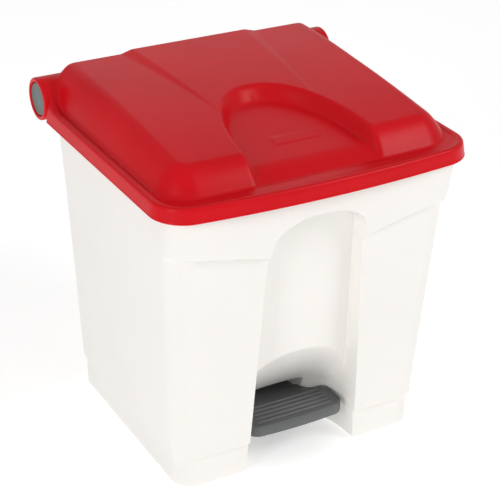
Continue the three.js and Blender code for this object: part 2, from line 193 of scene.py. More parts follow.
def side_slab(outline, x0, x1, bevel):
    """A (y, z) outline run along X, with its edges bevelled."""
    centre = np.mean(outline, axis=0)
    inner = centre + (outline - centre) * (1 - bevel / np.max(np.abs(outline - centre)))
    sections = [(x0, inner), (x0 + bevel, outline), (x1 - bevel, outline), (x1, inner)]
    return loft([np.column_stack([np.full(len(shape), x), shape]) for x, shape in sections])


def tool_object(points, faces):
    tool = mesh_object("tool", points, faces)
    face_outwards(tool)
    return tool


def box_tool(low, high):
    plan_points = [(low[0], low[1]), (high[0], low[1]), (high[0], high[1]), (low[0], high[1])]
    rings = [np.array([(x, y, z) for x, y in plan_points]) for z in (low[2], high[2])]
    return tool_object(*loft(rings))


def bar_tool(radius, x0, x1):
    """A round bar along the hinge axis."""
    return tool_object(*loft([hinge_circle(x, radius) for x in (x0, x1)]))


def subtract(piece, tools, sharp_deg):
    """Cuts tool meshes out of a piece and deletes them."""
    for tool in tools:
        cut = piece.modifiers.new("cut", "BOOLEAN")
        cut.operation = "DIFFERENCE"
        cut.solver = "EXACT"
        cut.object = tool
    bpy.context.view_layer.update()
    graph = bpy.context.evaluated_depsgraph_get()
    result = bpy.data.meshes.new_from_object(piece.evaluated_get(graph))
    piece.modifiers.clear()
    piece.data = result
    for tool in tools:
        bpy.data.objects.remove(tool)
    piece.data.set_sharp_from_angle(angle=math.radians(sharp_deg))


# ---------------------------------------------------------------- plan outlines
def arc(centre, radius, start, end, count):
    angles = np.radians(np.linspace(start, end, count, endpoint=False))
    return np.column_stack([centre[0] + radius * np.cos(angles), centre[1] + radius * np.sin(angles)])


def straight(start, end, count):
    share = np.linspace(0, 1, count, endpoint=False)[:, None]
    return np.array(start) + (np.array(end) - np.array(start)) * share


def plan(half, front, rear, corner, rear_corner, bow, front_columns, counts):
    """A rounded rectangle, anticlockwise from the front left, whose front edge bows forward.

    front_columns are places along the front edge from -1 to 1. counts are the points on a front
    corner, a side, a rear corner and the rear edge.
    """
    on_corner, on_side, on_rear_corner, on_rear = counts
    lean = math.atan(2 * bow / (half - corner))
    reach = half - corner + corner * math.sin(lean)
    x = reach * np.asarray(front_columns)
    edge = np.column_stack([x, front + bow * (x / reach) ** 2])
    middle_y = front + bow + corner * math.cos(lean)
    tilt = math.degrees(lean)
    rear_y = rear - rear_corner
    side_x = half - corner
    rear_x = half - rear_corner
    return np.concatenate([
        edge,
        arc((side_x, middle_y), corner, -90 + tilt, 0, on_corner),
        straight((half, middle_y), (half, rear_y), on_side),
        arc((rear_x, rear_y), rear_corner, 0, 90, on_rear_corner),
        straight((rear_x, rear), (-rear_x, rear), on_rear),
        arc((-rear_x, rear_y), rear_corner, 90, 180, on_rear_corner),
        straight((-half, rear_y), (-half, middle_y), on_side),
        arc((-side_x, middle_y), corner, 180, 270 - tilt, on_corner),
    ])


def with_height(outline, height):
    return np.column_stack([outline, np.broadcast_to(height, len(outline))])


# ---------------------------------------------------------------- lid
LID_COUNTS = (26, 110, 8, 130)
LID_COLUMNS = np.linspace(-1, 1, 130, endpoint=False)
LID_SHARP = 50
LID_CORNER = 43
LID_SMALLEST_CORNER = 9
LID_REAR_CORNER = 6
LID_BOW = 9
LID_CENTRE = np.array([0, -8.0])
BEAD_INSET = 9
LEDGE_Z = SKIRT_TOP - 2
GROOVE_DEPTH = 2.2
LUG_ROOM_HALF = 17

DOME_SIDE_INSET = 15
DOME_FRONT_INSET = 29
DOME_CORNER = 40
DOME_BOW = 5
DOME_REAR = HINGE_Y - 9
DOME_LENGTH = 308
DOME_SLOPE = 3
DOME_FALL = 22
SHOULDER = 31
SHOULDER_GROWTH = 3
FULLNESS = 1.8
FULLNESS_GROWTH = 0.9
LEDGE_FILLET = 2.5
REAR_EDGE_ROUNDING = 4
REAR_EDGE_FALL = 45
ROLL_BLEND = 14

CREASE_FRONT = -50
CREASE_RISE = 4.2
CREASE_FRONT_X = 62
CREASE_SPREAD = 26
CREASE_RUN = 7

SCOOP_FRONT = -170
SCOOP_ROLL_START = -138
SCOOP_ROLL = 12.5
SCOOP_INNER = (75, 156)  # half-width and length, at the foot of its wall
SCOOP_OUTER = (86, 175)  # the same at the top of its wall
SCOOP_POWER = 2.2
SCOOP_REAR_Z = 428
SCOOP_SLOPE = 0.119
PAD_CENTRE = (6, -101)
PAD_HALF = (32, 10)
PAD_EDGE = 3
PAD_RISE = 0.5


def depth_inside(x, y, half, front, corner, bow):
    """Distance inwards from a bowed, rounded front and two sides that run on to the rear."""
    straight_y = y - bow * (x / half) ** 2
    across = np.abs(x) - (half - corner)
    along = (front + corner) - straight_y
    outside = np.hypot(np.maximum(across, 0), np.maximum(along, 0))
    inside = np.minimum(np.maximum(across, along), 0)
    return corner - outside - inside


def panel_height(x, y):
    """The top of the dome: it curves down to the front, with a raised band between two creases."""
    share = (DOME_REAR - y) / DOME_LENGTH
    side_panel = LID_TOP - CREASE_RISE + DOME_SLOPE * share - DOME_FALL * share ** 2
    taper = ramp(CREASE_FRONT, DOME_REAR, y)
    crease_x = CREASE_FRONT_X + CREASE_SPREAD * taper
    run = CREASE_RUN * taper + 0.5
    raised = 1 - ramp(crease_x - run, crease_x + run, np.abs(x))
    return side_panel + CREASE_RISE * taper * raised


def scoop_floor(x, y):
    """The floor of the front scoop: it falls gently, then rolls down to the ledge."""
    rear = SCOOP_FRONT + SCOOP_INNER[1]
    slope = SCOOP_REAR_Z - SCOOP_SLOPE * (rear - y)
    roll = SCOOP_ROLL * ramp(SCOOP_ROLL_START, SCOOP_FRONT, y) ** 2
    on_pad = [smooth(half, half - PAD_EDGE, np.abs(place - middle))
              for place, middle, half in zip((x, y), PAD_CENTRE, PAD_HALF)]
    return slope - roll + PAD_RISE * on_pad[0] * on_pad[1]


def outside_scoop(x, y):
    """0 in the scoop, 1 outside it, and between on the wall from the inner to the outer outline."""
    reach = np.maximum(y - SCOOP_FRONT, 0)
    inner, outer = [
        ((np.abs(x) / half) ** SCOOP_POWER + (reach / length) ** SCOOP_POWER) ** (1 / SCOOP_POWER)
        for half, length in (SCOOP_INNER, SCOOP_OUTER)]
    past = np.maximum(inner - 1, 0)
    left = np.maximum(1 - outer, 0)
    return smooth(0, 1, past / np.maximum(past + left, 1e-6))


def dome_height(x, y):
    """The dome above the ledge, with its rounded shoulders and its front scoop."""
    inside = depth_inside(
        x, y, LID_HALF - DOME_SIDE_INSET, LID_FRONT + DOME_FRONT_INSET, DOME_CORNER, DOME_BOW)
    run = SHOULDER + SHOULDER_GROWTH * smooth(40, 160, y)
    fullness = FULLNESS + FULLNESS_GROWTH * smooth(20, 160, y)
    climb = 1 - (1 - np.clip(inside / run, 0, 1)) ** fullness
    dome = LEDGE_Z + (panel_height(x, y) - LEDGE_Z) * climb
    scooped = np.minimum(dome, scoop_floor(x, y))
    return np.where(y > SCOOP_FRONT, scooped + (dome - scooped) * outside_scoop(x, y), dome)


def roll_height(y):
    """The top of the hinge roll, with a slope from its front shoulder down to the rim."""
    shoulder = ROLL_RADIUS * math.sqrt(0.5)
    crown = HINGE_Z + np.sqrt(np.maximum(ROLL_RADIUS ** 2 - (y - HINGE_Y) ** 2, shoulder ** 2))
    slope = HINGE_Z + shoulder + (y - (HINGE_Y - shoulder))
    return np.where(y > HINGE_Y - shoulder, crown, slope)


def lid_height(x, y):
    """The outside of the lid at a place in plan: rim, ledge, groove, dome and hinge roll."""
    inside = depth_inside(x, y, LID_HALF, LID_FRONT, LID_CORNER, LID_BOW)
    ledge = SKIRT_TOP - GROOVE_DEPTH * smooth(BEAD_INSET + 2, BEAD_INSET + 4.5, inside)
    shell = smooth_max(ledge, dome_height(x, y), LEDGE_FILLET)
    edge = DOME_REAR + 1
    foot = DOME_REAR + 6
    rounding = REAR_EDGE_ROUNDING * ramp(DOME_REAR - 6, edge, y) ** 2
    fall = REAR_EDGE_FALL * ramp(edge, foot, y)
    shell = shell - (rounding + fall) * (shell > SKIRT_TOP + 1)
    shell = np.where(y > foot, np.minimum(shell, SKIRT_TOP), shell)
    return smooth_max(shell, roll_height(y), ROLL_BLEND)


def lid_plan(inset, rear):
    corner = max(LID_CORNER - inset, LID_SMALLEST_CORNER)
    return plan(
        LID_HALF - inset, LID_FRONT + inset, rear, corner, LID_REAR_CORNER, LID_BOW, LID_COLUMNS, LID_COUNTS)


def shrinking(outline, count):
    """Copies of an outline of the lid drawn in towards its centre."""
    for share in np.linspace(1, SMALLEST_SHARE, count):
        yield LID_CENTRE + (outline - LID_CENTRE) * share


def lid_shell_rings():
    """The lid as one skin: out from the top's middle, down the skirt and back under to the middle."""
    outer_rear = ROLL_FRONT + 3
    inner_rear = outer_rear - SKIN
    roll_top = HINGE_Y + 6
    top = [with_height(outline, lid_height(outline[:, 0], outline[:, 1]))
           for outline in shrinking(lid_plan(BEAD_INSET, roll_top), 118)]

    bead_drops = [
        (7.8, 0.02), (6.4, 0.1), (5.2, 0.35), (4.3, 0.8), (3.5, 1.5), (2.9, 2.5), (2.5, 3.9), (1.8, 8)]
    skirt = []
    for inset, drop in bead_drops:
        share = float(smooth(1.2, BEAD_INSET, inset))
        outline = lid_plan(inset, outer_rear + (roll_top - outer_rear) * share)
        rim = np.full(len(outline), float(SKIRT_TOP))
        lift = smooth_max(rim, roll_height(outline[:, 1]), ROLL_BLEND) - SKIRT_TOP
        skirt.append(with_height(outline, SKIRT_TOP - drop + lift * share))
    outside = [
        (0.9, SKIRT_BOTTOM + 5), (0.3, SKIRT_BOTTOM + 1.6), (0, SKIRT_BOTTOM + 0.9), (0.5, SKIRT_BOTTOM)]
    inside = [(2.2, SKIRT_BOTTOM), (3.1, SKIRT_BOTTOM + 1), (6, SKIRT_TOP - 6)]
    skirt += [with_height(lid_plan(inset, outer_rear), z) for inset, z in outside]
    skirt += [with_height(lid_plan(inset, inner_rear), z) for inset, z in inside]

    under = []
    for outline in shrinking(lid_plan(10, inner_rear - 1), 60):
        above = np.maximum(dome_height(outline[:, 0], outline[:, 1]), LEDGE_Z)
        under.append(with_height(outline, above - SKIN))
    return top[::-1] + skirt + under


def build_lid(material):
    points, faces = loft(lid_shell_rings())
    shell = make_piece("lid_top", points, faces, material, "lid", LID_SHARP)
    room = KNUCKLE_RADIUS + 1.5
    inner_x = KNUCKLE_INNER - ROLL_GAP
    outer_x = KNUCKLE_OUTER + ROLL_GAP
    tools = [bar_tool(room, side * inner_x, side * outer_x) for side in (-1, 1)]
    tools.append(box_tool(
        (-LUG_ROOM_HALF, HINGE_Y - 42, HINGE_Z - 40), (LUG_ROOM_HALF, HINGE_Y + 40, HINGE_Z + 28)))
    subtract(shell, tools, LID_SHARP)
    pieces = [shell, roll_middle(material), roll_end(-1, material), roll_end(1, material), lug_ears(material)]
    for piece in pieces:
        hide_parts("lid_shell")


def roll_end(side, material):
    """One end of the hinge roll: a tube with a rounded lip around its plug."""
    radius = ROLL_RADIUS - 0.1
    bore = 21.6
    shaft_bore = 7.6
    outer_x = LID_HALF
    inner_x = KNUCKLE_OUTER + ROLL_GAP
    floor_x = PLUG_HIGH[0] - 8
    profile = [
        (inner_x + 1, radius - 0.2), (inner_x + 2, radius),
        (outer_x - 2.2, radius), (outer_x - 1.2, radius - 0.3), (outer_x - 0.4, radius - 1),
        (outer_x, radius - 2),
        (outer_x, bore + 1.4), (outer_x - 0.4, bore + 0.5), (outer_x - 1.2, bore), (floor_x, bore),
        (floor_x, shaft_bore), (inner_x, shaft_bore), (inner_x, radius - 1.2),
    ]
    points, faces = lathe_x(profile)
    if side < 0:
        points = mirrored(points)
    name = "lid_roll_left" if side < 0 else "lid_roll_right"
    return make_piece(name, points, faces, material, "lid")


def roll_middle(material):
    """The middle of the roll: two drums and the slim core that carries the lug."""
    radius = ROLL_RADIUS - 0.1
    core = 13
    socket = 22
    end_x = KNUCKLE_INNER - ROLL_GAP
    floor_x = end_x - 30
    half = [
        (LUG_ROOM_HALF, core), (LUG_ROOM_HALF, radius - 1), (LUG_ROOM_HALF + 1, radius),
        (end_x - 1, radius), (end_x, radius - 1), (end_x, socket), (floor_x, socket), (floor_x, 4),
    ]
    profile = half + [(-x, r) for x, r in reversed(half)]
    points, faces = lathe_x(profile)
    return make_piece("lid_roll_middle", points, faces, material, "lid")


def lug_ears(material):
    """The two ears on the core that the lift rod pushes."""
    pin_y, pin_z = middle_yz("lid_lug_pin")
    direction = math.degrees(math.atan2(pin_z - HINGE_Z, pin_y - HINGE_Y))
    outline = np.concatenate([
        arc((pin_y, pin_z), 8, direction - 90, direction + 90, 20),
        arc((HINGE_Y, HINGE_Z), 12.5, direction + 90, direction + 270, 24),
    ])
    points, faces = stack([side_slab(outline, x0, x0 + 6, 0.8) for x0 in (-10, 4)])
    return make_piece("lid_lug", points, faces, material, "lid")


# ---------------------------------------------------------------- body
BODY_COUNTS = (22, 44, 14, 61)
BODY_CORNER = 30
BODY_SHARP = 28
BODY_BOTTOM = box_mm("body_shell")[0][2]
BODY_SECTION_LEVELS = [44, 394]
BODY_HALVES = [172, 190]
BODY_FRONTS = [-147.5, -171]
BODY_REARS = [160, 165]
PLINTH_TOP = BODY_SECTION_LEVELS[0]
PLINTH_HALF = 168
PLINTH_FRONT = -143
PLINTH_REAR = 156.5
PLINTH_CORNER = 26
RIM_Z = 392
REAR_RIM_Z = HINGE_Z - ROLL_RADIUS - 3
REAR_DROP_START = 300
PLAIN_SHARP = 30
FLOOR_TOP = 71
FLOOR_UNDERSIDE = 68
BAND_OUTSET = 0.9
BAND_CORNER = 31
BAND_FRONTS = [-174, -185]
BAND_LOW_EDGE = 307.5
BAND_EDGE_CLIMB = 21.5
BAND_SOFTNESS = 2.6

RECESS_APEX = 354
RECESS_SPRING = 315
RECESS_FOOT_HALF = 76
ARCH_HALF = 63
PANEL_FOOT_Y = -116
PANEL_TOP_Y = -150
NICHE_TOP = 152
NICHE_MIDDLE = -146
TUNNEL_HALF = 39.5
TUNNEL_REAR = 151
CHANNEL_HALF = 22
CHANNEL_FRONT = 128
CHANNEL_REAR = 157


def body_columns(opening, reach):
    """Places along the front edge: close together where the recess and tunnel walls stand."""
    stretches = [
        (-reach, -opening - 5, 14),
        (-opening - 5, -opening + 4, 16),
        (-opening + 4, -TUNNEL_HALF - 1, 16),
        (-TUNNEL_HALF - 1, -TUNNEL_HALF + 1, 3),
        (-TUNNEL_HALF + 1, 0, 18),
    ]
    left = np.concatenate([np.linspace(start, end, count, endpoint=False) for start, end, count in stretches])
    return np.concatenate([left, [0], -left[:0:-1]])


def recess_half(z):
    return np.interp(z, [0, RECESS_SPRING, RIM_Z], [RECESS_FOOT_HALF, ARCH_HALF, ARCH_HALF])


def body_section(z, grow):
    """Half-width, front and rear of the tapered body at a height, moved inwards by grow."""
    half, front, rear = [
        np.interp(z, BODY_SECTION_LEVELS, values) for values in (BODY_HALVES, BODY_FRONTS, BODY_REARS)]
    return half - grow, front + grow, rear - grow


def back_panel(z):
    """Where the recess's back stands at a height."""
    return np.interp(z, [0, RECESS_APEX], [PANEL_FOOT_Y, PANEL_TOP_Y])


def niche_depth(z):
    """How far the toe niche reaches behind its centre line at a height."""
    return np.interp(z, [0, 40, 66, 146.5, NICHE_TOP], [84, 80, 72, 16, 10])


def front_face(x, z, front, grow):
    """The front of the body at a place in elevation, with the recess and the toe niche in it."""
    half = recess_half(z) + grow
    arch_x = np.clip(np.abs(x) / (ARCH_HALF + grow), 0, 1)
    arch_top = RECESS_SPRING + (RECESS_APEX + grow - RECESS_SPRING) * (1 - arch_x ** 2.1) ** (1 / 2.0)
    open_sides = 1 - smooth(half - 0.9, half + 0.9, np.abs(x))
    open_top = 1 - smooth(-1.6, 1.6, z - arch_top)
    opened = open_sides * np.where(z > RECESS_SPRING, open_top, 1)
    panel = back_panel(z) + grow
    y = front + (np.maximum(panel, front) - front) * opened
    if z < NICHE_TOP:
        power = 3.2 - 1.2 * ramp(100, 138, z)
        over = np.clip(np.abs(x) / half, 0, 1)
        bowl = (1 - over ** power) ** (1 / power)
        niche = NICHE_MIDDLE + (niche_depth(z - grow) + grow) * bowl
        fillet = 2.5 if z < 80 else 0.2
        y = np.where(np.abs(x) < half, smooth_max(y, niche, fillet), y)
    return y


def add_band(outline, z, half, rear, grow, columns):
    """Brings the upper band forward: proud at the front, almost flush at the sides."""
    front = np.interp(z, [RECESS_SPRING - 1, RIM_Z], BAND_FRONTS) + grow
    band = plan(
        half + BAND_OUTSET, front, rear, BAND_CORNER - grow, BODY_CORNER - grow, 0.0, columns, BODY_COUNTS)
    low_edge = BAND_LOW_EDGE + BAND_EDGE_CLIMB * ramp(66, 160, np.abs(outline[:, 0]))
    on_band = smooth(-BAND_SOFTNESS, BAND_SOFTNESS, z - low_edge)
    share = on_band * (1 - smooth(-119, -116, outline[:, 1]))
    return outline + (band - outline) * share[:, None]


def body_ring(z, grow=0.0, plinth=False, tunnel=True):
    """The outline of the body at a height, moved inwards by grow, with the pedal's tunnel in its foot."""
    if plinth:
        half, front, rear = PLINTH_HALF - grow, PLINTH_FRONT + grow, PLINTH_REAR - grow
        corner = PLINTH_CORNER - grow
    else:
        half, front, rear = body_section(z, grow)
        corner = BODY_CORNER - grow
    reach = half - corner
    columns = body_columns(float(recess_half(z)) + grow, reach) / reach
    outline = plan(half, front, rear, corner, corner, 0.0, columns, BODY_COUNTS)
    if not plinth:
        outline = add_band(outline, z, half, rear, grow, columns)
    x, y = outline[:, 0], outline[:, 1].copy()
    front_points = np.arange(len(columns))
    y[front_points] = front_face(x[front_points], z, y[front_points], grow)
    if tunnel and z < FLOOR_UNDERSIDE:
        inside = (np.abs(x) < TUNNEL_HALF) & (y < 0)
        y[inside] = TUNNEL_REAR
    height = np.full(len(x), float(z))
    drop = (RIM_Z - REAR_RIM_Z) * smooth(ROLL_FRONT - 7, ROLL_FRONT - 1, y)
    height -= drop * ramp(REAR_DROP_START, RIM_Z, z)
    return np.column_stack([x, y, height])


def body_levels():
    """Heights of the rings, close together where the niche's vault and the recess's arch curve."""
    return np.concatenate([
        np.arange(PLINTH_TOP + 1.2, 66, 3.5), [67.2, 67.9, 68.1, 69.5], np.arange(71, 100, 2.1),
        np.arange(100, 150, 1.0), np.arange(150.5, 157, 2),
        np.arange(158, 296, 8), np.arange(298, 360, 1.4), np.arange(362, RIM_Z - 2, 5)])


def body_shell_rings():
    """The body as one skin: up the outside, over the rim, down the inside and across the floor."""
    foot = [(0, 1.2), (0.4, 0.4), (1.2, 0)]
    outer = [body_ring(BODY_BOTTOM + rise, grow, plinth=True) for rise, grow in foot]
    outer += [body_ring(z, plinth=True) for z in np.arange(6, PLINTH_TOP - 1, 4.6)]
    outer.append(body_ring(PLINTH_TOP - 0.6, plinth=True))
    outer += [body_ring(PLINTH_TOP, 0.5), body_ring(PLINTH_TOP + 0.5, 0.1)]
    outer += [body_ring(z) for z in body_levels()]
    lip = [(1.4, 0), (0.4, 0.5), (0, 1.4), (0.4, 2.5), (1.4, SKIN)]
    rim = [body_ring(RIM_Z - drop, grow) for drop, grow in lip]
    inner = [body_ring(z, SKIN, tunnel=False) for z in body_levels()[::-1] if z > FLOOR_TOP + 3]
    floor = [
        body_ring(FLOOR_TOP + 1.5, SKIN + 1.5, tunnel=False), body_ring(FLOOR_TOP, SKIN + 4, tunnel=False)]
    return outer + rim + inner + floor


def build_body(material):
    points, faces = loft(body_shell_rings())
    shell = make_piece("body_moulding", points, faces, material, "body", BODY_SHARP)
    channel = box_tool(
        (-CHANNEL_HALF, CHANNEL_FRONT, FLOOR_UNDERSIDE - 6), (CHANNEL_HALF, CHANNEL_REAR, RIM_Z + 20))
    subtract(shell, [channel], BODY_SHARP)
    pieces = [shell, channel_wall(material), knuckle(-1, material), knuckle(1, material)]
    for piece in pieces:
        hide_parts("body_shell")


def channel_wall(material):
    """The U-shaped wall that closes the rod channel off from the waste space."""
    x_in, y_in = CHANNEL_HALF, CHANNEL_FRONT
    x_out, y_out = x_in + SKIN, y_in - SKIN
    rear = CHANNEL_REAR + 2
    chamfer = 2
    outline = np.array([
        (-x_out, rear), (-x_out, y_out + chamfer), (-x_out + chamfer, y_out),
        (x_out - chamfer, y_out), (x_out, y_out + chamfer), (x_out, rear),
        (x_in, rear), (x_in, y_in), (-x_in, y_in), (-x_in, rear)])
    points, faces = loft([with_height(outline, z) for z in (FLOOR_TOP - 2, RIM_Z - 4)])
    under_roll = points[:, 1] > ROLL_FRONT - 4
    points[:, 2] = np.where(under_roll, np.minimum(points[:, 2], REAR_RIM_Z - 1), points[:, 2])
    return make_piece("rod_channel", points, faces, material, "body", PLAIN_SHARP)


def knuckle(side, material):
    """A hinge knuckle standing on a web at the top of the rear wall."""
    roll = arc((HINGE_Y, HINGE_Z), KNUCKLE_RADIUS, -20, 215, 60)
    web = np.array([(152, 373), (160.5, 350), (164.4, 340), (168, 352), (178, 366), (190, 381)])
    x0, x1 = sorted((side * KNUCKLE_INNER, side * KNUCKLE_OUTER))
    points, faces = side_slab(np.concatenate([roll, web]), x0, x1, 0.8)
    name = "hinge_knuckle_left" if side < 0 else "hinge_knuckle_right"
    return make_piece(name, points, faces, material, "body", PLAIN_SHARP)


# ---------------------------------------------------------------- hinge plugs
def build_plugs(material):
    """The stepped pins whose heads show in the ends of the roll."""
    tip_x = PLUG_LOW[0]
    face_x = PLUG_HIGH[0]
    dish_x = face_x - 0.6
    head = PLUG_HIGH[2] - HINGE_Z
    shaft = 7
    axis = 0.05
    profile = [
        (tip_x, axis), (tip_x, shaft - 1), (tip_x + 1, shaft), (face_x - 7, shaft),
        (face_x - 6.5, head - 0.3), (face_x - 6, head),
        (face_x - 0.9, head), (face_x - 0.2, head - 0.4), (face_x, head - 1.1),
        (face_x, head - 3.4), (face_x - 0.5, head - 4), (dish_x, 8), (dish_x, axis)]
    for side, hand in ((-1, "left"), (1, "right")):
        points, faces = lathe_x(profile)
        if side < 0:
            points = mirrored(points)
        piece = make_piece(f"hinge_plug_{hand}", points, faces, material, "body", PLAIN_SHARP)
        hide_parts(f"hinge_pin_{hand}")


# ---------------------------------------------------------------- pedal
TREAD_TOP = 56
TREAD_BOTTOM = 41.5
TREAD_FRONT = -138
TREAD_REAR = -88
TREAD_HALF = 67.5
TREAD_CENTRE = np.array([0, -112.0])
TREAD_FLOOR = TREAD_TOP - 1.6
TREAD_CORNER = 17
TREAD_REAR_CORNER = 12
NECK_HALF = 35
NECK_CORNER = 2.0
RIB_COUNT = 5
RIB_PITCH = 8
RIB_HALF = 53
PEDAL_SHARP = 40


def tread_outline(inset):
    """The tread in plan: a bowed front, rounded corners and concave sides into the neck."""
    half = TREAD_HALF - inset
    corner = TREAD_CORNER - min(inset, 6)
    front = TREAD_FRONT + inset
    u = np.linspace(-1, 1, 40, endpoint=False)
    reach = half - corner
    front_edge = np.column_stack([u * reach, front - 2 + 2 * u ** 2])
    right_corner = arc((reach, front + corner), corner, -85, 0, 12)
    rear = TREAD_REAR - inset
    rear_x = half - TREAD_REAR_CORNER
    rear_corner = arc((rear_x, rear - TREAD_REAR_CORNER), TREAD_REAR_CORNER, 0, 80, 12)
    neck_x = NECK_HALF - inset
    t = np.linspace(0, 1, 16)[:, None]
    start = np.array([rear_x, rear])
    bend = np.array([neck_x + 3, rear])
    end = np.array([neck_x, rear + 18])
    throat = (1 - t) ** 2 * start + 2 * t * (1 - t) * bend + t ** 2 * end
    right = np.concatenate([right_corner, rear_corner, throat])
    left = right[::-1] * np.array([-1, 1])
    return np.concatenate([front_edge, right, left])


def tread_ribs():
    """Low ribs that run across the tread, as (points, faces) blocks sunk 1 mm into its floor."""
    profile = np.array([(-1.5, -1), (1.5, -1), (1.1, 1.2), (0.7, 1.6), (-0.7, 1.6), (-1.1, 1.2)])
    first = TREAD_FRONT + 11
    return [side_slab(profile + (first + RIB_PITCH * row, TREAD_FLOOR), -RIB_HALF, RIB_HALF, 0.5)
            for row in range(RIB_COUNT)]


def tread_rings():
    """The tread as one skin: from the middle of its floor, over the edge and back under it."""
    inner = tread_outline(3.2)
    rings = [with_height(TREAD_CENTRE + (inner - TREAD_CENTRE) * share, TREAD_FLOOR)
             for share in np.linspace(SMALLEST_SHARE, 1, 6)]
    edges = [(2.6, TREAD_TOP - 0.3), (1.9, TREAD_TOP), (1.0, TREAD_TOP), (0.3, TREAD_TOP - 0.5),
             (0, TREAD_TOP - 1.5), (0, TREAD_BOTTOM + 1), (0.5, TREAD_BOTTOM), (2.6, TREAD_BOTTOM),
             (3, TREAD_BOTTOM + 1), (3.4, TREAD_TOP - 5)]
    for inset, z in edges:
        outline = tread_outline(inset)
        on_neck = outline[:, 1] > TREAD_REAR + 9
        rings.append(with_height(outline, np.where(on_neck, min(z, TREAD_FLOOR), z)))
    under_inset, under_z = edges[-1]
    last = TREAD_CENTRE + (tread_outline(under_inset) - TREAD_CENTRE) * SMALLEST_SHARE
    return rings + [with_height(last, under_z)]


def neck_sections():
    """Sections of the lever behind the tread: (y, half-width, top, bottom)."""
    rod_y, rod_z = middle_yz("lower_clevis_pin")
    pivot_bottom = PIVOT_Z - 8
    return [
        (TREAD_REAR - 6, NECK_HALF - 1, TREAD_TOP - 1.4, TREAD_BOTTOM + 2),
        (TREAD_REAR + 12, NECK_HALF, 52.4, 41),
        (TREAD_REAR + 20, NECK_HALF, 51.5, 40),
        (PIVOT_Y - 10, NECK_HALF, PIVOT_Z + 9.5, pivot_bottom),
        (PIVOT_Y + 6, NECK_HALF - 1, PIVOT_Z + 8.5, pivot_bottom),
        (PIVOT_Y + 14, 13, PIVOT_Z + 7, pivot_bottom),
        (rod_y - 20, 12, rod_z + 7.5, rod_z - 6.5),
        (rod_y - 17, 11.5, rod_z + 7, rod_z - 6),
    ]


def rounded_section(y, half, top, bottom):
    """A section of the lever with four rounded corners."""
    middle = (top + bottom) / 2
    x = half - NECK_CORNER
    z = (top - bottom) / 2 - NECK_CORNER
    centres = [(x, z), (-x, z), (-x, -z), (x, -z)]
    outline = np.concatenate([
        arc(centre, NECK_CORNER, 90 * turn, 90 * turn + 90, 6) for turn, centre in enumerate(centres)])
    return np.column_stack([outline[:, 0], np.full(len(outline), y), outline[:, 1] + middle])


def pedal_fork(material):
    """The two prongs at the lever's rear end that hold the lower pin."""
    pin_y, pin_z = middle_yz("lower_clevis_pin")
    root_y = pin_y - 24
    outline = np.concatenate([
        arc((pin_y, pin_z), 7, -80, 85, 18), np.array([(root_y, pin_z + 7.6), (root_y, pin_z - 6.6)])])
    points, faces = stack([side_slab(outline, x0, x0 + 8, 0.7) for x0 in (-11, 3)])
    return make_piece("pedal_fork", points, faces, material, "pedal")


def build_pedal(material):
    points, faces = stack([loft(tread_rings())] + tread_ribs())
    tread = make_piece("pedal_tread", points, faces, material, "pedal", PEDAL_SHARP)
    points, faces = loft([rounded_section(*section) for section in neck_sections()])
    arm = make_piece("pedal_arm", points, faces, material, "pedal", PEDAL_SHARP)
    for piece in (tread, arm, pedal_fork(material)):
        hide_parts("pedal_lever")


# ---------------------------------------------------------------- materials
def noise(tree, place, scale, detail):
    """A noise pattern fixed to the object."""
    texture = tree.nodes.new("ShaderNodeTexNoise")
    texture.inputs["Scale"].default_value = scale
    texture.inputs["Detail"].default_value = detail
    tree.links.new(place.outputs["Object"], texture.inputs["Vector"])
    return texture.outputs["Fac"]


def cloudy_colour_with_edge_highlight(tree, place, colour, edge_highlight, spread):
    """The colour in faint clouds, with a painted highlight that makes the sharpest edges lighter."""
    tint = tree.nodes.new("ShaderNodeValToRGB")
    dark, light = tint.color_ramp.elements
    dark.position = 0.3
    light.position = 0.7
    dark.color = [c * (1 - spread) for c in colour] + [1]
    light.color = [min(c * (1 + spread), 1) for c in colour] + [1]
    tree.links.new(noise(tree, place, 9, 5), tint.inputs["Fac"])

    # Painted highlight: the colour is made lighter on the sharpest convex edges, found by pointiness.
    edge = tree.nodes.new("ShaderNodeNewGeometry")
    edge_highlight_mask = tree.nodes.new("ShaderNodeMapRange")
    edge_highlight_mask.inputs["From Min"].default_value = 0.52
    edge_highlight_mask.inputs["From Max"].default_value = 0.62
    tree.links.new(edge.outputs["Pointiness"], edge_highlight_mask.inputs["Value"])
    mix = tree.nodes.new("ShaderNodeMix")
    mix.data_type = "RGBA"
    mix.inputs["B"].default_value = [min(c * edge_highlight + 0.01, 1) for c in colour] + [1]
    tree.links.new(edge_highlight_mask.outputs["Result"], mix.inputs["Factor"])
    tree.links.new(tint.outputs["Color"], mix.inputs["A"])
    return mix.outputs["Result"]


def uneven_gloss(tree, place, roughness):
    gloss = tree.nodes.new("ShaderNodeMapRange")
    gloss.inputs["To Min"].default_value = roughness - 0.05
    gloss.inputs["To Max"].default_value = roughness + 0.06
    tree.links.new(noise(tree, place, 38, 3), gloss.inputs["Value"])
    return gloss.outputs["Result"]


def fine_grain(tree, place, grain, depth):
    bump = tree.nodes.new("ShaderNodeBump")
    bump.inputs["Strength"].default_value = 0.35
    bump.inputs["Distance"].default_value = depth * MM
    tree.links.new(noise(tree, place, grain, 2), bump.inputs["Height"])
    return bump.outputs["Normal"]


